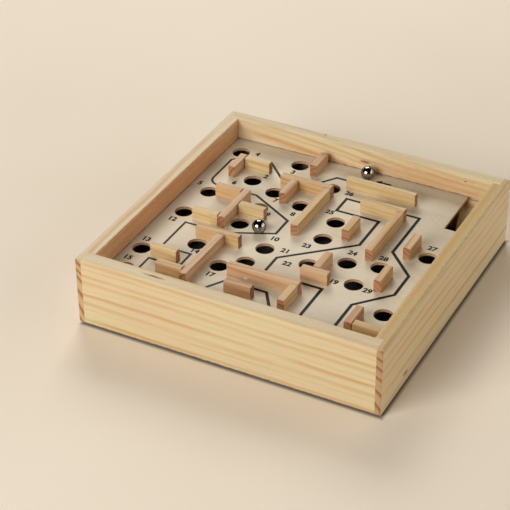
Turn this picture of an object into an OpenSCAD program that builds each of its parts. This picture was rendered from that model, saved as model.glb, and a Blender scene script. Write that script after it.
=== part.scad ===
// Wooden tilt maze: a shallow pine box with a drilled playing board, glued barriers and two steel balls.
// Millimetres, +Z up. The origin is the middle of the box's underside, with the front wall at -Y.

/* [Box] */
// Outside width of the box, left to right
box_w = 201.8; // [180:0.2:260]
// Outside depth of the box, front to back
box_d = 201.8; // [180:0.2:260]
// Thickness of the four walls
wall_t = 9.4; // [6:0.1:12]
// Thickness of the tongue of each side wall that covers an end of the front or back wall
corner_lap = 4.15; // [2:0.05:5.5]
// Depth of the grooves that hold the two boards
groove_d = 3; // [1.5:0.5:4]
// Rounding of the rim's outer edges
edge_r = 2; // [0.4:0.2:3]
// Rounding of the outer edges at the feet of the front, back and right walls
foot_r = 2; // [0.4:0.2:3]
// Rounding of the left wall's foot, whose edge was sanded off furthest
left_foot_r = 3.8; // [0.4:0.2:4]
// Rounding of the box's four upright corners
corner_r = 1; // [0.4:0.2:3]
// Rounding of the rim's inner edges
rim_r = 0.6; // [0.2:0.2:1.6]

/* [Levels] */
// Height of the walls' feet under the base board
foot_h = 3; // [1:0.5:6]
// Thickness of the base board
base_t = 3; // [2:0.5:6]
// Clear height of the ball space between the two boards
under_h = 24.4; // [18:0.2:36]
// Thickness of the playing board
board_t = 2; // [1.5:0.5:5]
// Height of the rim above the playing board
rim_h = 15.3; // [13:0.1:24]

/* [Fits] */
// Gap between a board's edge and the bottom of its groove
edge_gap = 0.2; // [0.1:0.05:0.5]
// Gap between a board's upper face and the top of its groove
face_gap = 0.5; // [0.1:0.05:0.8]
// Gap under a resting ball
ball_gap = 0.1; // [0.05:0.05:0.3]

/* [Holes] */
// Diameter of the holes in the playing board
hole_d = 12; // [9.5:0.5:14]
// Width of the return slot, out from the right wall
slot_w = 15.4; // [12:0.1:24]
// Length of the return slot, out from the back wall
slot_l = 41; // [25:0.5:60]

/* [Ramp] */
// Width of the ball return ramp at its upper end
ramp_w = 20; // [14:0.5:30]
// Width of the ramp at its toe
ramp_toe_w = 10; // [6:0.5:14]
// Length of the ball return ramp
ramp_l = 42; // [25:0.5:80]
// Drop from the playing surface to the ramp's upper end
ramp_drop = 7.8; // [4:0.2:12]
// Height of the ramp's blunt toe
ramp_toe = 1; // [0.5:0.5:3]

/* [Barriers] */
// Width of the barrier strip
barrier_w = 4.8; // [3:0.2:7]
// Height of the barrier strip
barrier_h = 8.2; // [5:0.2:12]
// Rounding of the strip's upper edges and upper end edges
barrier_r = 0.4; // [0.2:0.1:1.2]
// Short cut of the strip
short_len = 18; // [12:1:24]
// Medium cut of the strip
medium_len = 30; // [24:1:36]
// Long cut of the strip
long_len = 36; // [30:1:42]
// Longest cut of the strip
full_len = 48; // [40:1:54]
// Gap that is left where one strip butts against the side of another
joint_gap = 0.5; // [0.1:0.1:1]
// Gap between the right wall and the barrier that ends beside it
wall_gap = 2.7; // [0.5:0.1:6]
// Distance from the long front barrier's free end to the middle of the barrier that butts it there
tail_back = 5.4; // [2.4:0.1:12]

/* [Balls] */
// Diameter of the steel balls
ball_d = 9; // [7:0.5:10]

/* [Hidden] */
$fn = 64;

// How far a cutting shape stands past the face that it cuts
over = 1;

// Inside of the box
inner_w = box_w - 2 * wall_t;
inner_d = box_d - 2 * wall_t;
inner_x = inner_w / 2;
inner_y = inner_d / 2;

// Heights of the faces above the table
base_z = foot_h;
floor_z = base_z + base_t;
board_z = floor_z + under_h;
play_z = board_z + board_t;
box_h = play_z + rim_h;

// Both boards reach into the grooves on all four sides
board_w = inner_w + 2 * (groove_d - edge_gap);
board_d = inner_d + 2 * (groove_d - edge_gap);

// The maze is drawn on squared paper with this many squares a side, which spreads with the box's inside
square_count = 183;
pitch_x = inner_w / square_count;
pitch_y = inner_d / square_count;
function place(p) = [p.x * pitch_x, p.y * pitch_y];

// Hole centres in squares from the middle, row by row from the back wall to the front wall
HOLES = [
  [-81, 75.5], [-38, 78], [-7, 61],
  [-57.5, 47], [-38, 40], [-15.5, 33.5], [12.5, 26],
  [-76.5, 22], [-38.5, 19], [80, 15], [13.4, 5.2],
  [-79.5, -6], [-41, -2.5], [58, -7.5], [38, -12],
  [-14, -20.5], [17.5, -24], [51, -31],
  [-54, -35], [-18, -39], [-30.5, -49.5], [79.4, -51], [-82.5, -54],
  [-81, -77.3], [0, -84], [47, -80],
];

// Headings of the barriers
to_right = [1, 0];
to_left = [-1, 0];
to_back = [0, 1];
to_front = [0, -1];

// Where a barrier starts, in half strip widths past its anchor:
// free starts at the anchor, butt beside a strip centred there, corner covers that strip's end
free = 0;
butt = 1;
corner = -1;

// Anchors that two or more barriers share
back_left_corner = place([-72, 60.5]);
back_tee = place([-27.5, 51.5]);
back_corner = place([-4.5, 51.5]);
right_corner = place([48.5, 47]);
left_corner = place([-49.5, 22]);
front_tee = place([-40.5, -26]);
front_corner = place([24, -54]);
right_tee = place([28, -37.5]);
wall_corner = [inner_x - wall_gap - short_len - joint_gap - barrier_w / 2, place([0, -74.5]).y];

// Barriers: anchor, heading, length and start
BARRIERS = [
  [place([-24.5, 88]), to_front, short_len, free],
  [place([2, 67]), to_right, full_len, free],
  [right_corner, to_left, medium_len, corner],
  [right_corner, to_front, full_len, butt],
  [place([26.5, 27.5]), to_front, short_len, free],
  [back_corner, to_left, long_len, corner],
  [back_tee, to_front, short_len, butt],
  [back_corner, to_front, full_len, butt],
  [back_left_corner, to_front, short_len, corner],
  [back_left_corner, to_right, short_len, butt],
  [left_corner, to_left, short_len, butt],
  [left_corner, to_front, long_len, corner],
  [[left_corner.x, place([0, 8.5]).y], to_right, short_len, butt],
  [[left_corner.x, place([0, -9]).y], to_left, short_len, butt],
  [[place([-58.5, 0]).x, front_tee.y], to_right, medium_len, free],
  [front_tee, to_front, full_len, butt],
  [place([-73, -57]), to_right, short_len, free],
  [[front_tee.x, front_tee.y - barrier_w / 2 - joint_gap - full_len + tail_back], to_left, short_len, butt],
  [front_corner, to_left, full_len, corner],
  [place([-15, -70.5]), to_right, short_len, free],
  [front_corner, to_front, short_len, butt],
  [right_tee, to_back, short_len, butt],
  [[place([19.5, 0]).x, right_tee.y], to_right, short_len, free],
  [place([66.5, -13.5]), to_front, short_len, free],
  [place([68.5, 26]), to_front, short_len, free],
  [wall_corner, to_back, short_len, corner],
  [wall_corner, to_right, short_len, butt],
];

// Rest places of the balls
start_ball_at = place([9, 83]);
second_ball_at = place([-25.5, -6]);

// Names of the barriers, counted from 01
function barrier_name(i) = str("barrier_", i < 9 ? "0" : "", i + 1);

pine = "#e2c58c";
lime = "#dfcfae";
hardboard = "#4a3626";
beech = "#d3a777";
steel = "#c3c5c8";

// Cutter that rounds a square corner, which points to +X +Y and has its tip at the origin
module corner_cutter(r) {
  translate([-r, -r])
    difference() {
      square(r + over);
      circle(r);
    }
}

// Rectangle centred on the origin, with one rounding for its upper corners and one for its lower corners
module eased_rectangle(w, h, upper_r, lower_r) {
  difference() {
    square([w, h], center = true);
    translate([w / 2, h / 2])
      corner_cutter(upper_r);
    translate([-w / 2, h / 2])
      rotate(90)
        corner_cutter(upper_r);
    translate([-w / 2, -h / 2])
      rotate(180)
        corner_cutter(lower_r);
    translate([w / 2, -h / 2])
      rotate(270)
        corner_cutter(lower_r);
  }
}

// Outside of the glued box, with its edges sanded round
module sanded_block(side_foot_r) {
  intersection() {
    linear_extrude(box_h)
      eased_rectangle(box_w, box_d, corner_r, corner_r);
    translate([0, box_d / 2, box_h / 2])
      rotate([90, 0, 0])
        linear_extrude(box_d)
          eased_rectangle(box_w, box_h, edge_r, side_foot_r);
    translate([-box_w / 2, 0, box_h / 2])
      rotate([90, 0, 90])
        linear_extrude(box_w)
          eased_rectangle(box_d, box_h, edge_r, foot_r);
  }
}

// Groove cutters for both boards, in a wall whose inner face is the plane y = 0
module groove_cutters(run) {
  for (level = [[base_z, base_t], [board_z, board_t]])
    translate([-run / 2, -groove_d, level[0]])
      cube([run, groove_d + over, level[1] + face_gap]);
}

// Cutter that rounds the rim's inner edge, in a wall whose inner face is the plane y = 0
module rim_cutter(run) {
  translate([-run / 2, 0, box_h])
    rotate([90, 0, 90])
      linear_extrude(run)
        corner_cutter(rim_r);
}

// Front wall, or the back wall when it is turned half round, with its ends inside the side walls' tongues
module end_wall() {
  run = box_w - 2 * corner_lap;
  color(pine)
    difference() {
      intersection() {
        sanded_block(foot_r);
        translate([-run / 2, -box_d / 2, 0])
          cube([run, wall_t, box_h]);
      }
      translate([0, -inner_y, 0]) {
        groove_cutters(run + 2 * over);
        rim_cutter(inner_w);
      }
    }
}

// Right wall, or the left wall when it is turned half round, cut back to a tongue at each end
module side_wall(side_foot_r) {
  color(pine)
    difference() {
      intersection() {
        sanded_block(side_foot_r);
        translate([inner_x, -box_d / 2, 0])
          cube([wall_t, box_d, box_h]);
      }
      for (end = [-1, 1])
        translate([inner_x - over, end * (inner_y + wall_t / 2 + over / 2), box_h / 2])
          cube([2 * (wall_t - corner_lap + over), wall_t + over, box_h + 2 * over], center = true);
      translate([inner_x, 0, 0])
        rotate([0, 0, 90]) {
          groove_cutters(box_d);
          rim_cutter(inner_d);
        }
    }
}

module front_wall() {
  end_wall();
}

module back_wall() {
  rotate([0, 0, 180])
    end_wall();
}

module right_wall() {
  side_wall(foot_r);
}

module left_wall() {
  rotate([0, 0, 180])
    side_wall(left_foot_r);
}

// Thin floor of the box, held in the lower grooves
module base_board() {
  color(hardboard)
    translate([-board_w / 2, -board_d / 2, base_z])
      cube([board_w, board_d, base_t]);
}

// Drilled board in the upper grooves, notched at its back right corner for the return slot
module playing_board() {
  color(lime)
    difference() {
      translate([-board_w / 2, -board_d / 2, board_z])
        cube([board_w, board_d, board_t]);
      for (hole = HOLES)
        translate([place(hole).x, place(hole).y, board_z - over])
          cylinder(d = hole_d, h = board_t + 2 * over);
      translate([inner_x - slot_w, inner_y - slot_l, board_z - over])
        cube([slot_w + groove_d, slot_l + groove_d, board_t + 2 * over]);
    }
}

// Wedge under the return slot, on the base board in the back right corner, sawn narrower towards its toe
module ball_return_ramp() {
  top_h = under_h + board_t - ramp_drop;
  color(pine)
    translate([inner_x, inner_y, floor_z])
      intersection() {
        linear_extrude(top_h)
          polygon([[0, 0], [-ramp_w, 0], [-ramp_toe_w, -ramp_l], [0, -ramp_l]]);
        translate([-ramp_w, -ramp_l, 0])
          rotate([90, 0, 90])
            linear_extrude(ramp_w)
              polygon([[0, 0], [ramp_l, 0], [ramp_l, top_h], [0, ramp_toe]]);
      }
}

// Outline of a strip seen along or across it, standing on y = 0, with its two upper edges eased
module strip_outline(w) {
  translate([-w / 2, 0])
    square([w, barrier_h - barrier_r]);
  translate([-w / 2 + barrier_r, 0])
    square([w - 2 * barrier_r, barrier_h]);
  for (side = [-1, 1])
    translate([side * (w / 2 - barrier_r), barrier_h - barrier_r])
      circle(barrier_r);
}

// One cut of the strip, lying from x = 0 along +X
module strip(run) {
  intersection() {
    rotate([90, 0, 90])
      linear_extrude(run)
        strip_outline(barrier_w);
    translate([run / 2, barrier_w / 2, 0])
      rotate([90, 0, 0])
        linear_extrude(barrier_w)
          strip_outline(run);
  }
}

// One cut of the strip, glued on the playing board
module barrier(row) {
  anchor = row[0];
  heading = row[1];
  run = row[2];
  begin = row[3] * barrier_w / 2 + (row[3] == butt ? joint_gap : 0);
  color(beech)
    translate([anchor.x + heading.x * begin, anchor.y + heading.y * begin, play_z])
      rotate([0, 0, atan2(heading.y, heading.x)])
        strip(run);
}

// Bearing ball that rests on the playing board
module ball(at) {
  color(steel)
    translate([at.x, at.y, play_z + ball_gap + ball_d / 2])
      sphere(d = ball_d);
}

module start_ball() {
  ball(start_ball_at);
}

module second_ball() {
  ball(second_ball_at);
}

front_wall();
back_wall();
left_wall();
right_wall();
base_board();
playing_board();
ball_return_ramp();
start_ball();
second_ball();
for (i = [0:len(BARRIERS) - 1])
  barrier(BARRIERS[i]);
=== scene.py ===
"""Looks of a wooden tilt maze: pine case, printed board, glued barriers and steel balls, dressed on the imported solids.

Every object is in metres, +Z up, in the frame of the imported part. Values whose names end in _mm are millimetres.
"""

import logging
import math
from dataclasses import dataclass, replace
from enum import Enum
from typing import Any

import bmesh
import bpy
from mathutils import Matrix, Vector


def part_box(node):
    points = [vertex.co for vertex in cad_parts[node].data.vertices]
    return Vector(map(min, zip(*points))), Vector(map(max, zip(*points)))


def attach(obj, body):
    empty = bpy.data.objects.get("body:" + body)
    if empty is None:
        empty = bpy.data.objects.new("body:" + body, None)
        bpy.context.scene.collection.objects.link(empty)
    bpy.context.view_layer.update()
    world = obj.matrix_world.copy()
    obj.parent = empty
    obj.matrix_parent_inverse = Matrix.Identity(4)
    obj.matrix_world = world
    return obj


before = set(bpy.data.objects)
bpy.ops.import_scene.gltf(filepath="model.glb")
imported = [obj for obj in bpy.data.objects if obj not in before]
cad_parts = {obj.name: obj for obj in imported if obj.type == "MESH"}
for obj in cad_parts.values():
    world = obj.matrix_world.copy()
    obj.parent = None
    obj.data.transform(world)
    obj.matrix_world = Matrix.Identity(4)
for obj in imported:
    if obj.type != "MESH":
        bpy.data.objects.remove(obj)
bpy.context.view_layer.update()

MM = 0.001
FACE_MM = 100.9  # from the middle to the walls' outer faces
RIM_MM = 96.2  # to the middle of their rims
INSIDE_MM = 91.5  # to their inner faces
TOP_MM = 47.7  # height of the rims
PLAY_MM = 32.4  # height of the playing surface
MIX_FACTOR, MIX_A, MIX_B, MIX_RESULT = 0, 6, 7, 2  # a colour mix's sockets, which share their names
BACKDROP = "#ecdfcb"  # what the eye sees past the floor
log = logging.getLogger("tilt_maze")

Point = tuple[float, float]
Triple = tuple[float, float, float]
Colour = tuple[float, float, float, float]
Tree = bpy.types.NodeTree
Socket = bpy.types.NodeSocket


class Axis(Enum):
    """The way a board's grain runs."""

    X = (1.0, 0.0, 0.0)
    Y = (0.0, 1.0, 0.0)

    def stretch(self, along_mm: float, across_mm: float) -> Triple:
        """Scale per metre that gives a pattern these lengths along and across the grain.

        Args:
            along_mm: length of one feature along the grain.
            across_mm: its width across the grain.

        Returns:
            The scale on X, Y and Z.
        """
        return tuple(1 / MM / (along_mm if part else across_mm) for part in self.value)


class Tone(Enum):
    """Tones of the barrier sticks, as early and late wood."""

    STRAW = ("#d7bc8b", "#c39555")
    HONEY = ("#d1ad7c", "#b6824c")
    PEACH = ("#d0a981", "#b57f53")
    BROWN = ("#c59a71", "#a16a40")


def linear(code: str) -> Colour:
    """Turn an sRGB hex value into linear light.

    Args:
        code: a hash and six hex digits.

    Returns:
        Linear red, green and blue, with full alpha.
    """
    parts = (int(code[i:i + 2], 16) / 255 for i in (1, 3, 5))
    red, green, blue = (p / 12.92 if p <= 0.04045 else ((p + 0.055) / 1.055) ** 2.4 for p in parts)
    return red, green, blue, 1.0


def add(tree: Tree, kind: str, inputs: dict[Any, Any] | None = None,
        stops: list[tuple[float, float]] | None = None, **settings: Any) -> bpy.types.Node:
    """Add one node with its settings, fixed inputs and links.

    Args:
        tree: the node tree to add to.
        kind: the node's type without its ShaderNode prefix.
        inputs: input name or number, with a value or the socket to link from.
        stops: places and grey levels of a colour ramp.
        settings: the node's own properties.

    Returns:
        The new node.
    """
    node = tree.nodes.new("ShaderNode" + kind)
    for name, value in settings.items():
        setattr(node, name, value)
    for key, value in (inputs or {}).items():
        if isinstance(value, Socket):
            tree.links.new(value, node.inputs[key])
        else:
            node.inputs[key].default_value = value
    if stops:
        elements = node.color_ramp.elements
        elements.remove(elements[1])
        elements[0].position, elements[0].color = stops[0][0], (stops[0][1],) * 3 + (1.0,)
        for place, level in stops[1:]:
            elements.new(place).color = (level,) * 3 + (1.0,)
    return node


def blank(name: str) -> tuple[bpy.types.Material, Tree, bpy.types.Node]:
    """Start a material that has one principled surface.

    Args:
        name: what the real material is.

    Returns:
        The material, its node tree and the surface node.
    """
    material = bpy.data.materials.new(name)
    material.use_nodes = True
    tree = material.node_tree
    tree.nodes.clear()
    surface = add(tree, "BsdfPrincipled")
    add(tree, "OutputMaterial", {"Surface": surface.outputs["BSDF"]})
    return material, tree, surface


def seen_ray(tree: Tree, path: bpy.types.Node) -> Socket:
    """Tell the rays that show the backdrop: to the eye, off polished metal and through glass.

    Args:
        tree: the node tree to add to.
        path: its light path node.

    Returns:
        1 for such a ray and 0 for one that carries light.
    """
    clear = add(tree, "Math", {0: path.outputs["Is Camera Ray"], 1: path.outputs["Is Transmission Ray"]},
                operation="MAXIMUM")
    both = add(tree, "Math", {0: clear.outputs[0], 1: path.outputs["Is Glossy Ray"]}, operation="MAXIMUM")
    return both.outputs[0]


def dress(piece: bpy.types.Object, material: bpy.types.Material) -> None:
    """Put one material on every slot of a piece.

    Args:
        piece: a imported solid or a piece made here.
        material: its finish.
    """
    if not piece.material_slots:
        piece.data.materials.append(material)
    for slot in piece.material_slots:
        slot.material = material
    log.info("%s: %s", piece.name, material.name)


def object_from(name: str, mesh: bmesh.types.BMesh) -> bpy.types.Object:
    """Turn a finished bmesh into an object of the scene.

    Args:
        name: the object's name.
        mesh: its faces, in metres in the row frame.

    Returns:
        The linked object.
    """
    data = bpy.data.meshes.new(name)
    mesh.to_mesh(data)
    mesh.free()
    thing = bpy.data.objects.new(name, data)
    bpy.context.scene.collection.objects.link(thing)
    return thing


def piece_from(name: str, mesh: bmesh.types.BMesh, body: str) -> bpy.types.Object:
    """Turn a finished bmesh into a piece that rides on a body.

    Args:
        name: the piece's name.
        mesh: its faces, in metres in the row frame.
        body: the body it rides on.

    Returns:
        The linked piece.
    """
    bmesh.ops.recalc_face_normals(mesh, faces=mesh.faces)
    piece = object_from(name, mesh)
    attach(piece, body)
    return piece


@dataclass(frozen=True)
class Streak:
    """One layer of noise drawn out along the grain: a streak's length, its width and the finer layers in it."""

    along_mm: float
    across_mm: float
    detail: float = 1.0


DRIFT = Streak(120, 20)  # slow lean of the rings
RIPPLE = Streak(28, 5)  # small waves of the rings
FADE = Streak(60, 7)  # stretches where a ring is weak
PATCH = Streak(70, 24)  # broad patches of tone
RAGGED = Streak(3.0, 0.9, 2.0)  # torn edge of a mark
FIBRE_LONG_MM, FIBRE_DETAIL = 14, 3.0  # length of a fibre, and the finer layers in it
LEAN_SHARE = 4  # slow lean of the rings, against their small waves
LINE_FALL = 0.6  # sharp outer side of a dark line, against its soft inner side
RING_RELIEF = 0.7  # height of a raised line, against that of the fibres
GLOSS_SPREAD = (-0.06, 0.08)  # roughness of the smoothest and roughest fibre, against the mean


@dataclass(frozen=True)
class Mark:
    """A resin streak, a patch of heartwood or a dirty edge: its middle, half lengths, colour and how much shows."""

    centre_mm: Triple
    reach_mm: Triple
    colour: str = "#8a5634"
    share: float = 1.0

    def turned(self) -> "Mark":
        """Swap X and Y, for a wall that runs along Y."""
        (x, y, z), (wide, deep, high) = self.centre_mm, self.reach_mm
        return replace(self, centre_mm=(y, x, z), reach_mm=(deep, wide, high))


@dataclass(frozen=True)
class Wood:
    """Planed wood, cut through one solid pattern, so that rings on a face meet those on the end grain.

    Attributes:
        name: the wood and how it was worked.
        along: the way the grain runs.
        early: colour of the wide pale part of a ring.
        late: colour of the thin dark line of a ring.
        end_early: the pale part on sawn ends, which soak up lacquer and look darker.
        end_late: the dark line on sawn ends.
        blush: colour that broad patches lean to.
        pith_mm: the middle of the tree, as a place across the grain and a height.
        taper: how much wider the tree grows for each length along the grain.
        rings_mm: radii of the dark lines.
        years: width and depth of the dark lines of successive years, in turn.
        span_mm: growth after which the rings repeat.
        line_mm: width of a dark line.
        wander_mm: how far the lines leave a true circle.
        fibre_mm: width of the fibres, drawn coarser than the real 0.05 mm so that they show.
        fibre_share: how much the fibres change the brightness.
        roughness: mean roughness of the surface.
        shine: its specular level.
        relief_mm: height of the raised grain.
        plies_mm: thickness of the veneers on cut edges, or 0 for solid wood.
        marks: streaks and patches, laid one over the other.
    """

    name: str
    along: Axis
    early: str
    late: str
    end_early: str
    end_late: str
    blush: str
    pith_mm: Point
    rings_mm: tuple[float, ...]
    span_mm: float
    years: tuple[Point, ...] = ((1.0, 1.0), (0.6, 0.5), (1.3, 0.7))
    taper: float = 0.01
    line_mm: float = 2.1
    wander_mm: float = 1.0
    fibre_mm: float = 0.45
    fibre_share: float = 0.07
    roughness: float = 0.5
    shine: float = 0.2
    relief_mm: float = 0.03
    plies_mm: float = 0.0
    marks: tuple[Mark, ...] = ()

    def through(self, face_mm: float, heights_mm: tuple[float, ...]) -> "Wood":
        """Place the rings by where their dark lines cross one upright face.

        Args:
            face_mm: the face's place across the grain.
            heights_mm: heights of the lines on it, from the lowest.

        Returns:
            The wood with those rings.
        """
        return replace(self, rings_mm=tuple(math.dist(self.pith_mm, (face_mm, height)) for height in heights_mm))

    def ring_stops(self) -> list[tuple[float, float]]:
        """Set out the dark lines on a ramp: a slow rise to each line and a sharper fall.

        Returns:
            Places on the ramp from 0 to 1, with 1 for a full dark line.
        """
        stops = [(0.0, 0.0)]
        for index, ring in enumerate(self.rings_mm):
            width, depth = self.years[index % len(self.years)]
            width *= self.line_mm
            for place, level in ((ring - width, 0.0), (ring, depth), (ring + LINE_FALL * width, 0.0)):
                stops.append((max(place - self.ring_start(), 0.0) / self.span_mm, level))
        return stops

    def ring_start(self) -> float:
        """Radius at which the ramp of rings begins, two line widths before the first line."""
        return max(min(self.rings_mm) - 2 * self.line_mm, 0.0)

    def streaks(self, tree: Tree, spot: Socket, streak: Streak) -> Socket:
        """Lay noise that is drawn out along the grain.

        Args:
            tree: the material's tree.
            spot: the place on the piece.
            streak: the size of the streaks.

        Returns:
            The noise, around one half.
        """
        scale = self.along.stretch(streak.along_mm, streak.across_mm)
        drawn = add(tree, "Mapping", {"Vector": spot, "Scale": scale})
        return add(tree, "TexNoise", {"Vector": drawn.outputs["Vector"], "Scale": 1.0,
                                      "Detail": streak.detail}).outputs[0]

    def rings(self, tree: Tree, spot: Socket, ends: Socket) -> Socket:
        """Lay the growth rings round the pith.

        Args:
            tree: the material's tree.
            spot: the place on the piece.
            ends: 1 on sawn ends, where the lines keep their full strength.

        Returns:
            1 on a dark line and 0 between them, weaker here and there.
        """
        across, height = self.pith_mm
        along = self.along.value
        pith = (across * MM * along[1], across * MM * along[0], height * MM)
        off = add(tree, "VectorMath", {0: spot, 1: tuple(1 - part for part in along), 2: tuple(-p for p in pith)},
                  operation="MULTIPLY_ADD")
        radius = add(tree, "VectorMath", {0: off.outputs[0]}, operation="LENGTH")
        lean = add(tree, "VectorMath", {0: spot, 1: tuple(self.taper / MM * part for part in along)},
                   operation="DOT_PRODUCT")
        drift = add(tree, "Math", {0: self.streaks(tree, spot, DRIFT), 1: LEAN_SHARE * self.wander_mm,
                                   2: lean.outputs["Value"]}, operation="MULTIPLY_ADD")
        ripple = add(tree, "Math", {0: self.streaks(tree, spot, RIPPLE), 1: self.wander_mm,
                                    2: drift.outputs[0]}, operation="MULTIPLY_ADD")
        grown = add(tree, "Math", {0: radius.outputs["Value"], 1: 1 / MM, 2: ripple.outputs[0]},
                    operation="MULTIPLY_ADD")
        # Both noises lie around one half, so this is what they add on the whole.
        start = (LEAN_SHARE + 1) / 2 * self.wander_mm + self.ring_start()
        turns = add(tree, "Math", {0: grown.outputs[0], 1: 1 / self.span_mm, 2: -start / self.span_mm},
                    operation="MULTIPLY_ADD")
        within = add(tree, "Math", {0: turns.outputs[0]}, operation="FRACT")
        lines = add(tree, "ValToRGB", {"Fac": within.outputs[0]}, stops=self.ring_stops())
        weak = add(tree, "MapRange", {"Value": self.streaks(tree, spot, FADE), "From Min": 0.3, "From Max": 0.65,
                                      "To Min": 0.25, "To Max": 1.0})
        strength = add(tree, "Math", {0: weak.outputs[0], 1: ends}, operation="MAXIMUM")
        return add(tree, "Math", {0: lines.outputs["Color"], 1: strength.outputs[0]}, operation="MULTIPLY").outputs[0]

    def marked(self, tree: Tree, spot: Socket, base: Socket) -> Socket:
        """Lay the marks over a colour, each fading out to a torn edge.

        Args:
            tree: the material's tree.
            spot: the place on the piece.
            base: the colour under them.

        Returns:
            The colour with its marks.
        """
        ragged = self.streaks(tree, spot, RAGGED)
        for mark in self.marks:
            off = add(tree, "VectorMath", {0: spot, 1: tuple(c * MM for c in mark.centre_mm)}, operation="SUBTRACT")
            size = add(tree, "VectorMath", {0: off.outputs[0], 1: tuple(r * MM for r in mark.reach_mm)},
                       operation="DIVIDE")
            far = add(tree, "VectorMath", {0: size.outputs[0]}, operation="LENGTH")
            torn = add(tree, "Math", {0: ragged, 1: 0.9, 2: far.outputs["Value"]}, operation="MULTIPLY_ADD")
            inside = add(tree, "MapRange", {"Value": torn.outputs[0], "From Min": 0.75, "From Max": 1.4,
                                            "To Min": mark.share, "To Max": 0.0})
            base = add(tree, "Mix", {MIX_FACTOR: inside.outputs[0], MIX_A: base, MIX_B: linear(mark.colour)},
                       data_type="RGBA").outputs[MIX_RESULT]
        return base

    def plied(self, tree: Tree, spots: bpy.types.Node, base: Socket) -> Socket:
        """Show the veneers on upright cut edges.

        Args:
            tree: the material's tree.
            spots: the texture coordinates.
            base: the colour of the faces.

        Returns:
            The colour with its layered edges.
        """
        normal = add(tree, "SeparateXYZ", {0: spots.outputs["Normal"]})
        lying = add(tree, "Math", {0: normal.outputs["Z"]}, operation="ABSOLUTE")
        upright = add(tree, "MapRange", {"Value": lying.outputs[0], "From Min": 0.4, "From Max": 0.7,
                                         "To Min": 1.0, "To Max": 0.0})
        place = add(tree, "SeparateXYZ", {0: spots.outputs["Object"]})
        layer = add(tree, "Math", {0: place.outputs["Z"], 1: 0.5 / (self.plies_mm * MM)}, operation="MULTIPLY")
        pair = add(tree, "Math", {0: layer.outputs[0]}, operation="FRACT")
        dark = add(tree, "ValToRGB", {"Fac": pair.outputs[0]},
                   stops=[(0.0, 0.0), (0.46, 0.0), (0.5, 1.0), (0.96, 1.0), (1.0, 0.0)])
        veneer = add(tree, "Mix", {MIX_FACTOR: dark.outputs["Color"], MIX_A: linear(self.end_early),
                                   MIX_B: linear(self.end_late)}, data_type="RGBA")
        return add(tree, "Mix", {MIX_FACTOR: upright.outputs[0], MIX_A: base, MIX_B: veneer.outputs[MIX_RESULT]},
                   data_type="RGBA").outputs[MIX_RESULT]

    def material(self) -> bpy.types.Material:
        """Make the wood's material.

        Returns:
            A material with rings, fibres, patches, sawn ends and marks.
        """
        material, tree, surface = blank(self.name)
        spots = add(tree, "TexCoord")
        spot = spots.outputs["Object"]
        fibres = self.streaks(tree, spot, Streak(FIBRE_LONG_MM, self.fibre_mm, FIBRE_DETAIL))
        facing = add(tree, "VectorMath", {0: spots.outputs["Normal"], 1: self.along.value}, operation="DOT_PRODUCT")
        sawn = add(tree, "Math", {0: facing.outputs["Value"]}, operation="ABSOLUTE")
        ends = add(tree, "MapRange", {"Value": sawn.outputs[0], "From Min": 0.55, "From Max": 0.85})
        rings = self.rings(tree, spot, ends.outputs[0])
        patches = add(tree, "MapRange", {"Value": self.streaks(tree, spot, PATCH), "From Min": 0.4,
                                         "From Max": 0.75, "To Min": 0.0, "To Max": 0.6})
        pale = add(tree, "Mix", {MIX_FACTOR: patches.outputs[0], MIX_A: linear(self.early),
                                 MIX_B: linear(self.blush)}, data_type="RGBA")
        soft = add(tree, "Mix", {MIX_FACTOR: ends.outputs[0], MIX_A: pale.outputs[MIX_RESULT],
                                 MIX_B: linear(self.end_early)}, data_type="RGBA")
        hard = add(tree, "Mix", {MIX_FACTOR: ends.outputs[0], MIX_A: linear(self.late),
                                 MIX_B: linear(self.end_late)}, data_type="RGBA")
        base = add(tree, "Mix", {MIX_FACTOR: rings, MIX_A: soft.outputs[MIX_RESULT],
                                 MIX_B: hard.outputs[MIX_RESULT]}, data_type="RGBA").outputs[MIX_RESULT]
        base = self.marked(tree, spot, base)
        if self.plies_mm:
            base = self.plied(tree, spots, base)
        bright = add(tree, "MapRange", {"Value": fibres, "From Min": 0.25, "From Max": 0.75,
                                        "To Min": 1 - self.fibre_share, "To Max": 1 + self.fibre_share})
        grained = add(tree, "HueSaturation", {"Color": base, "Value": bright.outputs[0]})
        gloss = add(tree, "MapRange", {"Value": fibres, "From Min": 0.25, "From Max": 0.75,
                                       "To Min": self.roughness + GLOSS_SPREAD[0],
                                       "To Max": self.roughness + GLOSS_SPREAD[1]})
        height = add(tree, "Math", {0: rings, 1: RING_RELIEF, 2: fibres}, operation="MULTIPLY_ADD")
        raised = add(tree, "Bump", {"Height": height.outputs[0], "Distance": self.relief_mm * MM, "Strength": 0.6})
        tree.links.new(grained.outputs["Color"], surface.inputs["Base Color"])
        tree.links.new(gloss.outputs[0], surface.inputs["Roughness"])
        tree.links.new(raised.outputs["Normal"], surface.inputs["Normal"])
        surface.inputs["IOR"].default_value = 1.5
        surface.inputs["Specular IOR Level"].default_value = self.shine
        return material


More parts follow.
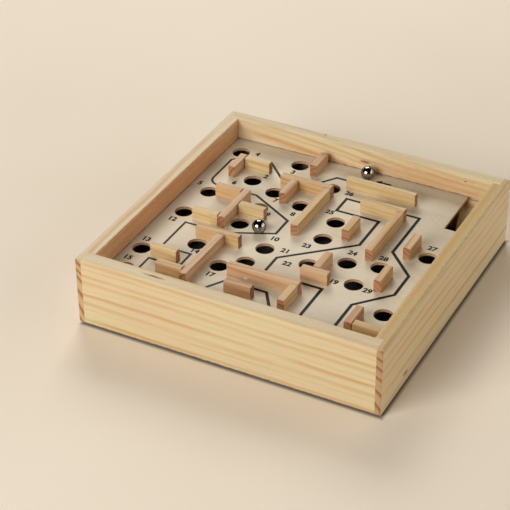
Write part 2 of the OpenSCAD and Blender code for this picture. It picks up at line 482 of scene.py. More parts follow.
@dataclass(frozen=True)
class PrintingInk:
    """Screen printed black ink with fine specks, greyer towards the front left: that greying is painted sheen, the
    glare off the ink's gloss.

    Attributes:
        name: the ink and how it was put on.
        ink: its own colour.
        wood: colour of the board, mixed in where the ink greys.
        lifts: the way across the board in which the ink greys.
        fall_mm: places along that way where the greying starts and stops.
        thin_right: share of the wood colour mixed in at the back right.
        thin_left: share mixed in at the front left, as painted sheen.
        speck_mm: size of the specks that the wood shows in.
    """

    name: str = "screen_printed_ink"
    ink: str = "#121112"
    wood: str = "#cdbfa3"
    lifts: Triple = (-1.0, -0.4, 0.0)
    fall_mm: Point = (-60.0, 90.0)
    thin_right: float = 0.01
    thin_left: float = 0.08
    speck_mm: float = 0.5

    def material(self) -> bpy.types.Material:
        """Make the ink.

        Returns:
            A material that is black at the back right, and greyer and speckled at the front left.
        """
        material, tree, surface = blank(self.name)
        spot = add(tree, "TexCoord").outputs["Object"]
        # Painted sheen: the ink greys towards the front left, with the wood colour mixed in.
        fall = add(tree, "VectorMath", {0: spot, 1: self.lifts}, operation="DOT_PRODUCT")
        thin = add(tree, "MapRange", {"Value": fall.outputs["Value"], "From Min": self.fall_mm[0] * MM,
                                      "From Max": self.fall_mm[1] * MM, "To Min": self.thin_right,
                                      "To Max": self.thin_left})
        specks = add(tree, "TexNoise", {"Vector": spot, "Scale": 1 / (self.speck_mm * MM), "Detail": 2.0})
        worn = add(tree, "MapRange", {"Value": specks.outputs[0], "From Min": 0.35, "From Max": 0.7,
                                      "To Min": 0.5, "To Max": 1.6})
        share = add(tree, "Math", {0: thin.outputs[0], 1: worn.outputs[0]}, operation="MULTIPLY", use_clamp=True)
        base = add(tree, "Mix", {MIX_FACTOR: share.outputs[0], MIX_A: linear(self.ink), MIX_B: linear(self.wood)},
                   data_type="RGBA")
        tree.links.new(base.outputs[MIX_RESULT], surface.inputs["Base Color"])
        surface.inputs["Roughness"].default_value = 0.6
        surface.inputs["IOR"].default_value = 1.48
        surface.inputs["Specular IOR Level"].default_value = 0.12
        return material


@dataclass(frozen=True)
class PolishedSteel:
    """Ground and polished bearing steel: a mirror, with faint handling marks that soften it in spots."""

    name: str = "polished_bearing_steel"
    colour: str = "#a5a19c"
    rim: str = "#6e665e"
    smear_mm: float = 2.4

    def material(self) -> bpy.types.Material:
        """Make the steel.

        Returns:
            A mirror whose roughness varies in small smears.
        """
        material, tree, surface = blank(self.name)
        spot = add(tree, "TexCoord").outputs["Object"]
        smears = add(tree, "TexNoise", {"Vector": spot, "Scale": 1 / (self.smear_mm * MM), "Detail": 3.0})
        gloss = add(tree, "MapRange", {"Value": smears.outputs[0], "From Min": 0.35, "From Max": 0.7,
                                       "To Min": 0.05, "To Max": 0.14})
        tree.links.new(gloss.outputs[0], surface.inputs["Roughness"])
        surface.inputs["Base Color"].default_value = linear(self.colour)
        # Painted shade: the dark edge tint dims the mirror towards the ball's outline, standing in for the shaded
        # surroundings mirrored there.
        surface.inputs["Specular Tint"].default_value = linear(self.rim)
        surface.inputs["Metallic"].default_value = 1.0
        return material


@dataclass(frozen=True)
class DriedGlue:
    """White wood glue that squeezed out and dried: milky, smooth and slightly shiny."""

    name: str = "dried_wood_glue"
    milky: str = "#e9e2d2"
    clear: str = "#cdb491"
    clot_mm: float = 0.8

    def material(self) -> bpy.types.Material:
        """Make the glue.

        Returns:
            A material that is milky in clots and clearer between them.
        """
        material, tree, surface = blank(self.name)
        spot = add(tree, "TexCoord").outputs["Object"]
        clots = add(tree, "TexNoise", {"Vector": spot, "Scale": 1 / (self.clot_mm * MM), "Detail": 2.0})
        share = add(tree, "MapRange", {"Value": clots.outputs[0], "From Min": 0.35, "From Max": 0.65})
        base = add(tree, "Mix", {MIX_FACTOR: share.outputs[0], MIX_A: linear(self.clear),
                                 MIX_B: linear(self.milky)}, data_type="RGBA")
        tree.links.new(base.outputs[MIX_RESULT], surface.inputs["Base Color"])
        surface.inputs["Roughness"].default_value = 0.35
        surface.inputs["IOR"].default_value = 1.46
        return material


@dataclass(frozen=True)
class FloorPaper:
    """Plain pale paper sweep, clear from below so that the underside can be lit and looked at.

    Attributes:
        name: the paper and its use.
        colour: its main tone.
        cloud: the tone of its faint clouds.
        cloud_mm: size of a cloud.
        near_m: distance from the maze at which the paper starts to fade into the backdrop.
        far_m: distance at which nothing but the backdrop is left.
        window_mm: half width of the part under the box that lets lamp light up from below.
        left_in_mm: how much further in the left wall's rounded foot stands.
        rub_mm: width of the painted contact shadow along the feet.
        rub: its colour.
        rub_share: how much of it shows.
    """

    name: str = "pale_paper_sweep"
    colour: str = "#f3e5d0"
    cloud: str = "#eddcc5"
    cloud_mm: float = 180
    near_m: float = 0.3
    far_m: float = 0.75
    window_mm: float = 98.5
    left_in_mm: float = 2.6
    rub_mm: float = 2.4
    rub: str = "#3b3128"
    rub_share: float = 0.75

    def material(self) -> bpy.types.Material:
        """Make the paper.

        Returns:
            A material with faint clouds and a painted contact shadow along the feet, which fades into the plain
            backdrop away from the maze.
        """
        material, tree, surface = blank(self.name)
        spot = add(tree, "TexCoord").outputs["Object"]
        clouds = add(tree, "TexNoise", {"Vector": spot, "Scale": 1 / (self.cloud_mm * MM), "Detail": 2.0})
        base = add(tree, "Mix", {MIX_FACTOR: clouds.outputs[0], MIX_A: linear(self.colour),
                                 MIX_B: linear(self.cloud)}, data_type="RGBA")
        place = add(tree, "SeparateXYZ", {0: spot}).outputs
        left = add(tree, "Math", {0: self.left_in_mm * MM, 1: place["X"]}, operation="SUBTRACT")
        across = add(tree, "Math", {0: place["X"], 1: left.outputs[0]}, operation="MAXIMUM")
        deep = add(tree, "Math", {0: place["Y"]}, operation="ABSOLUTE")
        side = add(tree, "Math", {0: across.outputs[0], 1: deep.outputs[0]}, operation="MAXIMUM")
        # Painted contact shadow: a thin dark line on the paper along the feet.
        contact_shaded = add(tree, "MapRange", {"Value": side.outputs[0], "From Min": FACE_MM * MM,
                                        "From Max": (FACE_MM + self.rub_mm) * MM, "To Min": self.rub_share,
                                        "To Max": 0.0})
        toned = add(tree, "Mix", {MIX_FACTOR: contact_shaded.outputs[0], MIX_A: base.outputs[MIX_RESULT],
                                  MIX_B: linear(self.rub)}, data_type="RGBA")
        tree.links.new(toned.outputs[MIX_RESULT], surface.inputs["Base Color"])
        surface.inputs["Roughness"].default_value = 0.8
        surface.inputs["Specular IOR Level"].default_value = 0.1
        under = add(tree, "NewGeometry")
        path = add(tree, "LightPath")
        inside = add(tree, "Math", {0: side.outputs[0], 1: self.window_mm * MM}, operation="LESS_THAN")
        upward = add(tree, "Math", {0: inside.outputs[0], 1: path.outputs["Is Shadow Ray"]}, operation="MULTIPLY")
        passed = add(tree, "Math", {0: under.outputs["Backfacing"], 1: upward.outputs[0]}, operation="MAXIMUM")
        away = add(tree, "VectorMath", {0: spot}, operation="LENGTH")
        far = add(tree, "MapRange", {"Value": away.outputs["Value"], "From Min": self.near_m, "From Max": self.far_m},
                  interpolation_type="SMOOTHSTEP")
        backdrop = add(tree, "Math", {0: far.outputs[0], 1: seen_ray(tree, path)}, operation="MULTIPLY")
        plain = add(tree, "Emission", {"Color": linear(BACKDROP), "Strength": 1.0})
        swept = add(tree, "MixShader", {0: backdrop.outputs[0], 1: surface.outputs["BSDF"],
                                        2: plain.outputs["Emission"]})
        clear = add(tree, "BsdfTransparent")
        shown = add(tree, "MixShader", {0: passed.outputs[0], 1: swept.outputs[0], 2: clear.outputs["BSDF"]})
        tree.links.new(shown.outputs["Shader"], tree.nodes["Material Output"].inputs["Surface"])
        return material


# Sanded pine under thin lacquer: cream early wood, soft orange late lines, darker and stronger on sawn ends.
PINE = Wood(name="lacquered_pine", along=Axis.X, early="#dcc8a1", late="#cf9f69", end_early="#cfaf80",
            end_late="#8f5230", blush="#dcbf9f", pith_mm=(-120.9, -60.0), rings_mm=(60.0,), span_mm=120.0)

# Planed beech stock, bare: warm tan with soft broad lines, browner on the cut ends.
BEECH = Wood(name="planed_beech", along=Axis.X, early="#cfa878", late="#b98955", end_early="#b3815b",
             end_late="#85522f", blush="#cba27c", pith_mm=(20.0, -30.0), taper=0.03,
             rings_mm=(2.0, 4.7, 8.2, 10.6), span_mm=12.5, line_mm=1.4, wander_mm=1.1, fibre_mm=0.5,
             fibre_share=0.1, roughness=0.55, shine=0.32)

# Sanded limewood plywood: pale and nearly plain, with soft grain and layered edges in the holes.
PLYWOOD = Wood(name="sanded_lime_plywood", along=Axis.X, early="#e2d3b8", late="#d9c6a7", end_early="#d3b08b",
               end_late="#b08461", blush="#e0ceb5", pith_mm=(-20.0, -150.0), taper=0.03,
               rings_mm=(3.0, 8.5, 13.0, 20.0), span_mm=26.0, line_mm=2.6, wander_mm=3.0, fibre_mm=0.5,
               fibre_share=0.045, roughness=0.6, relief_mm=0.02, plies_mm=0.67)


@dataclass
class PineCase:
    """The four walls of the box, each a board with its own rings and marks.

    Attributes:
        front_lines_mm: heights of the dark lines on the front wall's outer face.
        back_lines_mm: the same on the back wall's inner face.
        left_lines_mm: the same on the left wall's outer face.
        right_lines_mm: the same on the right wall's outer face.
        broad: width and depth of a full year's line.
        fine: the same for a thin year between two full ones.
        scuff_mm: height of the painted contact shade on the feet.
        grime: colour of that painted shade.
        stain: colour of the painted shade on the walls at and below the board, where the ball space lies in shade.
    """

    front_lines_mm: tuple[float, ...] = (3.3, 10.4, 15.2, 21.8, 25.8, 30.8, 35.4, 40.2, 44.2, 49.2)
    back_lines_mm: tuple[float, ...] = (33.5, 38.6, 43.2, 47.4, 52.0)
    left_lines_mm: tuple[float, ...] = (4.6, 14.3, 24.0, 33.8, 39.7, 45.6, 51.0)
    right_lines_mm: tuple[float, ...] = (2.0, 13.6, 19.5, 24.4, 28.2, 31.7, 35.2, 38.5, 41.7, 44.8)
    broad: Point = (1.0, 1.0)
    fine: Point = (0.5, 0.3)
    scuff_mm: float = 2.6
    grime: str = "#261c15"
    stain: str = "#2b2019"

    def foot(self, face_mm: float) -> Mark:
        """Paint contact shade on the foot of a wall that runs along X, at its outer face."""
        return Mark((0.0, face_mm, -0.5), (300.0, 4.0, self.scuff_mm), self.grime)

    def seam(self, face_mm: float) -> Mark:
        """Paint a shade line where the playing board meets the inner face of a wall along X."""
        return Mark((0.0, face_mm, PLAY_MM), (300.0, 1.5, 1.3), self.stain, 0.95)

    def front(self) -> Wood:
        """Cut the front wall.

        Returns:
            Pine with a pale rim and a resin streak on it.
        """
        rim = Mark((0.0, -RIM_MM, 48.4), (400.0, 6.0, 2.4), "#dcc8a4", 0.6)
        resin = Mark((-48.5, -RIM_MM, TOP_MM), (9.5, 1.3, 1.6), "#8f5836")
        wood = replace(PINE, name="lacquered_pine_front", early="#d6c399", late="#c99b64", blush="#d5b997",
                       marks=(rim, resin, self.foot(-FACE_MM)))
        return wood.through(-FACE_MM, self.front_lines_mm)

    def back(self) -> Wood:
        """Cut the back wall.

        Returns:
            Pine with broad lines, warmer heartwood at the right, small resin spots and a darker rim.
        """
        darker_patch = Mark((55.0, INSIDE_MM, 37.0), (75.0, 3.0, 10.0), "#c48e5a", 0.5)
        # Painted shade: the wall darkens at and below the board, so that the ball space seen down the holes is dark.
        below = Mark((-50.0, INSIDE_MM, 17.0), (110.0, 3.0, 13.0), self.stain, 0.95)
        # Painted light: a plain pale tan on the wall inside the slot stands in for the light that falls in there, and
        # keeps the painted shade line off where the board is cut away.
        lit_in_slot = Mark((88.0, INSIDE_MM, 29.0), (16.0, 2.0, 12.0), "#dcb98a")
        rim = Mark((0.0, RIM_MM, 48.4), (400.0, 6.0, 2.4), "#c6b088", 0.7)
        resin = (Mark((3.4, INSIDE_MM, 39.2), (5.2, 1.5, 1.2), "#8f5030"),
                 Mark((73.6, INSIDE_MM, 43.7), (1.2, 0.8, 0.7)), Mark((-29.4, 98.6, TOP_MM), (1.6, 0.9, 0.9)))
        wood = replace(PINE, name="lacquered_pine_back", early="#e5d1a3", late="#cc955e", pith_mm=(70.0, 10.0),
                       taper=0.06, line_mm=3.4, wander_mm=1.8,
                       marks=(darker_patch, below, self.seam(INSIDE_MM), lit_in_slot, rim, *resin, self.foot(FACE_MM)))
        return wood.through(INSIDE_MM, self.back_lines_mm)

    def left(self) -> Wood:
        """Cut the left wall.

        Returns:
            Pine with even lines, and redder heartwood on its inner face.
        """
        darker_patch = Mark((-INSIDE_MM, 0.0, 36.0), (1.5, 190.0, 30.0), "#d18e5a", 0.8)
        # Painted shade: the wall darkens at and below the board, so that the ball space seen down the holes is dark.
        below = Mark((-INSIDE_MM, 0.0, 17.0), (3.0, 400.0, 13.0), self.stain, 0.95)
        wood = replace(PINE, name="lacquered_pine_left", along=Axis.Y, end_early="#c5a47a", pith_mm=(-143.0, -16.0),
                       years=(self.broad,),
                       marks=(darker_patch, below, self.seam(-INSIDE_MM).turned(), self.foot(-FACE_MM).turned()))
        return wood.through(-FACE_MM, self.left_lines_mm)

    def right(self) -> Wood:
        """Cut the right wall.

        Returns:
            Pine with close lines, a darker rim with one orange line, and a resin spot near the foot.
        """
        rim = Mark((96.0, 0.0, 48.2), (9.0, 400.0, 2.8), "#bfa168", 0.9)
        orange_line = Mark((94.6, 0.0, TOP_MM), (1.9, 260.0, 1.5), "#c7974f", 0.7)
        resin = Mark((FACE_MM, -66.2, 8.0), (1.4, 4.8, 1.6))
        wood = replace(PINE, name="lacquered_pine_right", along=Axis.Y, early="#d9c498", end_early="#b7986e",
                       pith_mm=(62.0, -22.0), years=(self.broad,) + (self.broad, self.fine) * 4 + (self.broad,),
                       marks=(rim, orange_line, resin, self.foot(FACE_MM).turned()))
        return wood.through(FACE_MM, self.right_lines_mm)

    def dress(self) -> None:
        """Dress the four walls."""
        walls = {"front_wall": self.front(), "back_wall": self.back(), "left_wall": self.left(),
                 "right_wall": self.right()}
        for node, wood in walls.items():
            dress(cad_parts[node], wood.material())


@dataclass
class Boards:
    """The printed playing board, the base board under it and the ramp that brings a ball back."""

    ridge_mm: float = 0.55
    base_under_mm: float = 3.0

    def dress(self) -> None:
        """Dress the two boards and the ramp."""
        # Painted shade: the board is a shade darker towards the back right, where less light falls.
        darker_patch = Mark((100.0, 55.0, PLAY_MM), (85.0, 110.0, 6.0), "#9c8a70", 0.32)
        dress(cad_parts["playing_board"], replace(PLYWOOD, marks=(darker_patch,)).material())
        # Pressed hardboard, smooth side up, with short fibres that lie every way and a paler underside. Its
        # near-black top is painted shade, standing in for the deep shade seen down the holes.
        rough_side = Mark((0.0, 0.0, self.base_under_mm), (500.0, 500.0, 1.6), "#6b503a", 0.95)
        base = replace(PLYWOOD, name="pressed_hardboard", early="#231a14", late="#1c1510", end_early="#2c2119",
                       end_late="#221913", blush="#281d14", wander_mm=6.0, fibre_mm=3.0, fibre_share=0.16,
                       roughness=0.55, plies_mm=1.5, marks=(rough_side,))
        dress(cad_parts["base_board"], base.material())
        # Sawn pine, bare: the saw leaves fine ridges along the run, so it is rougher than the walls. Its very pale
        # tone is painted light: the ramp lies in the board's shade and is dressed pale to look lit.
        ramp = replace(PINE, name="sawn_pine", along=Axis.Y, early="#f4e4c8", late="#e3c698", pith_mm=(60.0, -10.0),
                       rings_mm=(2.0, 6.0, 11.5, 16.0, 21.0), span_mm=24.0, fibre_mm=self.ridge_mm,
                       fibre_share=0.12, roughness=0.75, relief_mm=0.08)
        dress(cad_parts["ball_return_ramp"], ramp.material())


@dataclass
class Barriers:
    """The glued sticks, and the glue that squeezed out under one of them.

    Attributes:
        tones: the tone of each stick in order, by its first letter.
        dark_ends: numbers of the sticks whose ends the saw burnt.
        burnt: early and late wood of such an end.
        glued_node: the stick with the bead of glue on its front.
        glue_centre_mm: the bead's place along the stick and its height.
        glue_reach_mm: its half width and half height.
        glue_thick_mm: how far it stands proud.
        glue_sunk_mm: how far its back lies in the stick.
        glue_rings: rows of faces from its top to its edge.
        glue_sides: faces round it.
        glue_waves: waves of its edge, each as their number, depth and turn.
    """

    tones: str = "PSSHHHPHPSHPSSHPSHPBHHPHHBH"
    dark_ends: tuple[int, ...] = (10, 15, 20)
    burnt: tuple[str, str] = ("#8f6447", "#633d26")
    glued_node: str = "barrier_19"
    glue_centre_mm: Point = (-8.7, 33.9)
    glue_reach_mm: Point = (1.6, 1.1)
    glue_thick_mm: float = 0.35
    glue_sunk_mm: float = 0.02
    glue_rings: int = 6
    glue_sides: int = 28
    glue_waves: tuple[Triple, ...] = ((2, 0.16, 0.7), (3, 0.1, 0.0))

    def build(self) -> bpy.types.Object:
        """Build the bead of dried glue at the foot of a stick: a flat dome with a wavy edge.

        Returns:
            The bead, riding on the box.
        """
        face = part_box(self.glued_node)[0].y
        middle = Vector((self.glue_centre_mm[0] * MM, face, self.glue_centre_mm[1] * MM))
        wide, high = self.glue_reach_mm
        mesh = bmesh.new()
        rows: list[list[bmesh.types.BMVert]] = []
        for ring in range(1, self.glue_rings + 1):
            share = ring / self.glue_rings
            proud = self.glue_thick_mm * (1 - share * share) - self.glue_sunk_mm
            row = []
            for side in range(self.glue_sides):
                turn = math.tau * side / self.glue_sides
                wave = 1 + sum(depth * math.sin(count * turn + start) for count, depth, start in self.glue_waves)
                out = Vector((wide * wave * share * math.cos(turn), -proud, high * wave * share * math.sin(turn)))
                row.append(mesh.verts.new(middle + out * MM))
            rows.append(row)
        top = mesh.verts.new(middle + Vector((0.0, self.glue_sunk_mm - self.glue_thick_mm, 0.0)) * MM)
        for side in range(self.glue_sides):
            after = (side + 1) % self.glue_sides
            mesh.faces.new((top, rows[0][side], rows[0][after]))
            for inner, outer in zip(rows, rows[1:]):
                mesh.faces.new((inner[side], outer[side], outer[after], inner[after]))
        mesh.faces.new(rows[-1])
        piece = piece_from("glue_bead", mesh, "box")
        piece.data.polygons.foreach_set("use_smooth", [True] * len(piece.data.polygons))
        return piece

    def stick(self, tone: Tone, axis: Axis, dark: bool) -> Wood:
        """Cut one stick's beech.

        Args:
            tone: the tone of its blank.
            axis: the way it runs.
            dark: whether the saw burnt its ends.

        Returns:
            The beech, with the grain along the stick.
        """
        early, late = tone.value
        wood = replace(BEECH, name=f"planed_beech_{tone.name.lower()}_{axis.name.lower()}", along=axis, early=early,
                       late=late, blush=early)
        if dark:
            wood = replace(wood, name=wood.name + "_burnt_end", end_early=self.burnt[0], end_late=self.burnt[1])
        return wood

    def dress(self, bead: bpy.types.Object) -> None:
        """Dress each stick in the tone of its own blank, and the glue.

        Args:
            bead: what build() gave.
        """
        made: dict[str, bpy.types.Material] = {}
        letters = {tone.name[0]: tone for tone in Tone}
        for number, letter in enumerate(self.tones, 1):
            node = f"barrier_{number:02d}"
            low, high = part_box(node)
            axis = Axis.X if high.x - low.x > high.y - low.y else Axis.Y
            wood = self.stick(letters[letter], axis, number in self.dark_ends)
            if wood.name not in made:
                made[wood.name] = wood.material()
            dress(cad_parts[node], made[wood.name])
        dress(bead, DriedGlue().material())


# Corners of the printed route in millimetres, with the radius of the one that is drawn round.
ROUTE_MM: tuple[Triple, ...] = (
    (10, 75, 0), (-9.5, 75, 0), (-21, 58.5, 0), (-42.5, 58.5, 0), (-57, 73, 0), (-62.5, 67.5, 0), (-79.5, 67.5, 0),
    (-82.5, 64.5, 0), (-82.5, 32, 7), (-47, 32, 0), (-15.5, 14, 0), (-15.5, -2.5, 0), (-46, -16.5, 0),
    (-72.5, -16.5, 0), (-72.5, -46.5, 0), (-52, -46.5, 0), (-52, -61.5, 0), (-73, -61.5, 0), (-73, -81.5, 0),
    (-32, -81.5, 0), (-19.5, -61.5, 0), (8, -61.5, 0), (20, -80, 0), (36, -80, 0), (36, -43.5, 0), (-3, -43.5, 0),
    (-3, -26, 0), (36.5, 9.5, 0), (36.5, 39, 0), (7, 39, 0), (7, 54.5, 0), (58, 54, 0), (58, 11.5, 0), (77, -8, 0),
    (77, -29.5, 0), (58.5, -50, 0), (58.5, -86, 0),
)

# Printed numbers in order, each with its middle in millimetres.
NUMBERS_MM: tuple[Point, ...] = (
    (-15.2, 60.2), (-52, 55.5), (-38.5, 68.5), (-70, 78.5), (-87, 29), (-67, 39.5), (-33, 32), (-16, 22.5),
    (-30, 15), (-13, -8), (-41, -20), (-81.5, -16.5), (-84.5, -44), (-51, -42), (-84.5, -66.5), (-9.5, -84),
    (-30.5, -60), (-18, -47.5), (39.5, -33.5), (47, -88.4), (-2, -17), (5.5, -29), (7.5, -6), (36.5, -0.5),
    (4, 35.5), (6, 61), (78.5, 26), (56, 2.5), (61, -33), (72, -84),
)


@dataclass
class MazePrint:
    """What is printed on the board: the route, the numbers of the holes and an arrow at the start place.

    Attributes:
        line_mm: width of the route's line at the right.
        thin_line_mm: its width at the left.
        line_from_mm: places across the board between which the width grows.
        arc_steps: straight pieces in a round corner.
        digit_mm: height of a figure.
        bold: how far the figures are thickened, as a share of the font's size.
        film_mm: how far the ink stands proud, thicker than the real 0.01 mm so that it covers.
        sunk_mm: how far it soaks in.
        arrow_mm: the arrow's middle.
        arrow_long_mm: its length.
        arrow_wide_mm: width of its head.
        arrow_shaft_mm: width of its shaft.
        dense: share of the wood colour mixed into figures and arrow at the left, as painted sheen.
    """

    line_mm: float = 2.05
    thin_line_mm: float = 1.6
    line_from_mm: Point = (-70.0, 30.0)
    arc_steps: int = 8
    digit_mm: float = 4.6
    bold: float = 0.045
    film_mm: float = 0.03
    sunk_mm: float = 0.01
    arrow_mm: Point = (20.5, 82.5)
    arrow_long_mm: float = 11.0
    arrow_wide_mm: float = 4.4
    arrow_shaft_mm: float = 1.5
    dense: float = 0.03

    def level(self) -> float:
        """Height of the playing surface, in metres."""
        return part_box("playing_board")[1].z

    def width(self, x: float) -> float:
        """Width of the route's line, which the screen printed thinner towards the left.

        Args:
            x: place across the board in millimetres.

        Returns:
            The width in millimetres.
        """
        left, right = self.line_from_mm
        share = min(max((x - left) / (right - left), 0.0), 1.0)
        return self.thin_line_mm + (self.line_mm - self.thin_line_mm) * share

    def path(self) -> list[Vector]:
        """Lay out the route's middle line, with its round corner as an arc.

        Returns:
            Points in millimetres.
        """
        points: list[Vector] = []
        for index, (x, y, radius) in enumerate(ROUTE_MM):
            here = Vector((x, y))
            if not radius:
                points.append(here)
                continue
            back = (Vector(ROUTE_MM[index - 1][:2]) - here).normalized()
            ahead = (Vector(ROUTE_MM[index + 1][:2]) - here).normalized()
            centre = here + (back + ahead) * radius
            for step in range(self.arc_steps + 1):
                turn = math.pi / 2 * step / self.arc_steps
                points.append(centre - ahead * radius * math.cos(turn) - back * radius * math.sin(turn))
        return points

    def route(self) -> bpy.types.Object:
        """Build the route as one thin mitred ribbon of ink.

        Returns:
            The ribbon, riding on the box.
        """
        points = self.path()
        rows: list[tuple[Vector, Vector]] = []
        for index, here in enumerate(points):
            ways = [(b - a).normalized() for a, b in zip(points[max(index - 1, 0):], points[max(index, 1):index + 2])]
            sides = [Vector((-way.y, way.x)) for way in ways]
            side = sum(sides, Vector((0.0, 0.0))).normalized()
            reach = self.width(here.x) / 2 / side.dot(sides[0])
            rows.append((here + side * reach, here - side * reach))
        mesh = bmesh.new()
        heights = (self.level() - self.sunk_mm * MM, self.level() + self.film_mm * MM)
        loops = [[mesh.verts.new((p.x * MM, p.y * MM, z)) for p in (row[0], row[1]) for z in heights] for row in rows]
        for one, two in zip(loops, loops[1:]):
            for a, b in ((0, 1), (1, 3), (3, 2), (2, 0)):
                mesh.faces.new((one[a], one[b], two[b], two[a]))
        for end in (loops[0], loops[-1]):
            mesh.faces.new([end[i] for i in (0, 1, 3, 2)])
        return piece_from("printed_route", mesh, "box")

    def figure(self, body: str) -> bpy.types.Mesh:
        """Set one number in plain bold figures at the font's own size.

        Args:
            body: the digits.

        Returns:
            A solid of the figures, one unit thick.
        """
        curve = bpy.data.curves.new("figure", "FONT")
        curve.body, curve.align_x, curve.align_y = body, "CENTER", "CENTER"
        curve.offset, curve.extrude, curve.resolution_u = self.bold, 0.5, 4
        holder = bpy.data.objects.new("figure", curve)
        bpy.context.scene.collection.objects.link(holder)
        graph = bpy.context.evaluated_depsgraph_get()
        mesh = bpy.data.meshes.new_from_object(holder.evaluated_get(graph))
        bpy.data.objects.remove(holder)
        bpy.data.curves.remove(curve)
        return mesh

    def numbers(self) -> bpy.types.Object:
        """Build all printed numbers as one piece.

        Returns:
            The figures, riding on the box.
        """
        tallest = [vertex.co.y for vertex in self.figure("8").vertices]
        scale = self.digit_mm * MM / (max(tallest) - min(tallest))
        thick = (self.film_mm + self.sunk_mm) * MM
        height = self.level() + (self.film_mm - self.sunk_mm) * MM / 2
        mesh = bmesh.new()
        for number, (x, y) in enumerate(NUMBERS_MM, 1):
            solid = self.figure(str(number))
            ys = [vertex.co.y for vertex in solid.vertices]
            xs = [vertex.co.x for vertex in solid.vertices]
            centred = Matrix.Translation((-(max(xs) + min(xs)) / 2, -(max(ys) + min(ys)) / 2, 0.0))
            solid.transform(Matrix.Translation((x * MM, y * MM, height)) @ Matrix.Diagonal((scale, scale, thick, 1.0))
                            @ centred)
            mesh.from_mesh(solid)
            bpy.data.meshes.remove(solid)
        bmesh.ops.remove_doubles(mesh, verts=mesh.verts, dist=1e-6)
        return piece_from("printed_numbers", mesh, "box")

    def arrow(self) -> bpy.types.Object:
        """Build the arrow that points along the first lane to the start place.

        Returns:
            The arrow, riding on the box.
        """
        x, y = self.arrow_mm
        tip, tail, neck = x - self.arrow_long_mm / 2, x + self.arrow_long_mm / 2, x - self.arrow_long_mm / 8
        half, shaft = self.arrow_wide_mm / 2, self.arrow_shaft_mm / 2
        outline = ((tip, y), (neck, y - half), (neck, y - shaft), (tail, y - shaft), (tail, y + shaft),
                   (neck, y + shaft), (neck, y + half))
        mesh = bmesh.new()
        low = mesh.faces.new([mesh.verts.new((a * MM, b * MM, self.level() - self.sunk_mm * MM)) for a, b in outline])
        raised = bmesh.ops.extrude_face_region(mesh, geom=[low])
        lifted = [item for item in raised["geom"] if isinstance(item, bmesh.types.BMVert)]
        bmesh.ops.translate(mesh, verts=lifted, vec=(0.0, 0.0, (self.sunk_mm + self.film_mm) * MM))
        bmesh.ops.triangulate(mesh, faces=mesh.faces)
        return piece_from("printed_arrow", mesh, "box")

    def build(self) -> list[bpy.types.Object]:
        """Build the three printed pieces."""
        return [self.route(), self.numbers(), self.arrow()]

    def dress(self, pieces: list[bpy.types.Object]) -> None:
        """Ink the printed pieces.

        Args:
            pieces: what build() gave.
        """
        route, *figures = pieces
        dress(route, PrintingInk().material())
        dense = PrintingInk(name="screen_printed_ink_dense", thin_left=self.dense).material()
        for piece in figures:
            dress(piece, dense)


@dataclass
class SteelBalls:
    """The two bearing balls that roll in the lanes."""

    nodes: tuple[str, ...] = ("start_ball", "second_ball")

    def dress(self) -> None:
        """Dress both balls in polished steel."""
        steel = PolishedSteel().material()
        for node in self.nodes:
            dress(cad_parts[node], steel)


@dataclass(frozen=True)
class SoftBox:
    """A soft lamp: the way to it from the maze, its size and power, and whether polished things mirror it."""

    name: str
    way: Triple
    size_m: Point
    power: float
    mirrored: bool = True


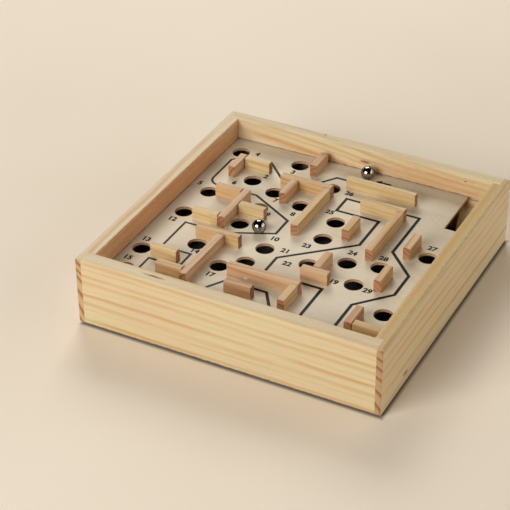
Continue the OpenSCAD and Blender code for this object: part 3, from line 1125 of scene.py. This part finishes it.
@dataclass
class Studio:
    """Pale floor, soft lamps, a faint even sky and the camera at the photograph's angle.

    Attributes:
        floor_m: width of the floor.
        under_feet_mm: gap under the feet, so that no two faces lie in one plane.
        lens_mm: the camera's focal length.
        sensor_mm: width of its sensor.
        clip_m: nearest and furthest thing it shows.
        distance_mm: how far it stands from its target.
        target_mm: the point in the middle of its picture.
        azimuth: degrees to the right of the maze's front.
        elevation: degrees above the floor.
        roll: degrees that it leans.
        sky: strength of the even light.
        lamps: the soft lamps.
        lamp_far_m: how far they hang from the middle of the maze.
        tent_m: radius of the dark ceiling.
        tent_edge: height of its lower edge, as a share of the radius.
        felt: its colour.
    """

    floor_m: float = 6.0
    under_feet_mm: float = 0.1
    lens_mm: float = 119.25
    sensor_mm: float = 36.0
    clip_m: Point = (0.05, 30.0)
    distance_mm: float = 1053.5
    target_mm: Triple = (-21.96, -18.57, 24.0)
    azimuth: float = 27.61
    elevation: float = 34.26
    roll: float = -0.43
    sky: float = 0.02
    lamps: tuple[SoftBox, ...] = (
        SoftBox("front_softbox", (-0.28, -0.83, 0.48), (1.1, 0.92), 22.8),
        SoftBox("back_softbox", (-0.42, 0.65, 0.63), (0.79, 0.7), 13.9),
        SoftBox("right_panel", (0.86, 0.33, 0.37), (2.2, 1.2), 12.8),
        SoftBox("underside_panel", (0.0, 0.0, -1.0), (0.18, 0.18), 18.0, mirrored=False),
    )
    lamp_far_m: float = 1.6
    tent_m: float = 4.0
    tent_edge: float = 0.1
    felt: str = "#101010"

    def floor(self) -> None:
        """Lay the paper floor a hair below the wall feet."""
        mesh = bmesh.new()
        bmesh.ops.create_grid(mesh, x_segments=8, y_segments=8, size=self.floor_m / 2)
        floor = object_from("paper_floor", mesh)
        floor.location.z = -self.under_feet_mm * MM
        dress(floor, FloorPaper().material())

    def tent(self) -> None:
        """Hang the dark ceiling of the studio, the upper part of a dome, which only polished things mirror."""
        mesh = bmesh.new()
        bmesh.ops.create_uvsphere(mesh, u_segments=48, v_segments=24, radius=self.tent_m)
        low = [vertex for vertex in mesh.verts if vertex.co.z < self.tent_edge * self.tent_m]
        bmesh.ops.delete(mesh, geom=low, context="VERTS")
        tent = object_from("dark_ceiling", mesh)
        material, _, surface = blank("black_felt")
        surface.inputs["Base Color"].default_value = linear(self.felt)
        surface.inputs["Roughness"].default_value = 1.0
        dress(tent, material)
        tent.visible_camera = tent.visible_diffuse = tent.visible_shadow = tent.visible_transmission = False

    def hang(self, box: SoftBox) -> None:
        """Hang one soft lamp that faces the middle of the maze.

        Args:
            box: the lamp.
        """
        light = bpy.data.lights.new(box.name, "AREA")
        light.shape, light.energy = "RECTANGLE", box.power
        light.size, light.size_y = box.size_m
        lamp = bpy.data.objects.new(box.name, light)
        away = Vector(box.way).normalized()
        lamp.location = away * self.lamp_far_m
        lamp.rotation_euler = away.to_track_quat("Z", "Y").to_euler()
        lamp.visible_glossy = box.mirrored
        bpy.context.scene.collection.objects.link(lamp)

    def world(self) -> None:
        """Light the scene evenly, and show a pale sky to the eye, to metal and through glass."""
        world = bpy.data.worlds.new("even_sky")
        bpy.context.scene.world = world
        world.use_nodes = True
        tree = world.node_tree
        tree.nodes.clear()
        seen = seen_ray(tree, add(tree, "LightPath"))
        lit = add(tree, "Background", {"Strength": self.sky, "Color": linear("#ffffff")})
        view = add(tree, "Background", {"Color": linear(BACKDROP), "Strength": 1.0})
        both = add(tree, "MixShader", {0: seen, 1: lit.outputs[0], 2: view.outputs[0]})
        add(tree, "OutputWorld", {"Surface": both.outputs[0]})

    def camera(self) -> None:
        """Stand the camera where the photograph was taken from."""
        turn, lift, lean = (math.radians(v) for v in (self.azimuth, self.elevation, self.roll))
        back = Vector((math.sin(turn) * math.cos(lift), -math.cos(turn) * math.cos(lift), math.sin(lift)))
        level = Vector((math.cos(turn), math.sin(turn), 0.0))
        rise = back.cross(level)
        right = level * math.cos(lean) + rise * math.sin(lean)
        above = rise * math.cos(lean) - level * math.sin(lean)
        data = bpy.data.cameras.new("photo_camera")
        data.lens, data.sensor_width = self.lens_mm, self.sensor_mm
        data.clip_start, data.clip_end = self.clip_m
        camera = bpy.data.objects.new("photo_camera", data)
        eye = (Vector(self.target_mm) + back * self.distance_mm) * MM
        camera.matrix_world = Matrix.Translation(eye) @ Matrix((right, above, back)).transposed().to_4x4()
        bpy.context.scene.collection.objects.link(camera)
        bpy.context.scene.camera = camera

    def build(self) -> None:
        """Set up the camera, floor, ceiling, lamps and sky."""
        self.camera()
        self.floor()
        self.tent()
        for box in self.lamps:
            self.hang(box)
        self.world()
        bpy.context.scene.view_settings.view_transform = "Standard"


def main() -> None:
    """Build and dress the maze in order, and report each piece."""
    logging.basicConfig(level=logging.INFO, format="%(message)s")
    Studio().build()
    PineCase().dress()
    Boards().dress()
    barriers = Barriers()
    barriers.dress(barriers.build())
    maze_print = MazePrint()
    maze_print.dress(maze_print.build())
    SteelBalls().dress()


if __name__ == "__main__":
    main()
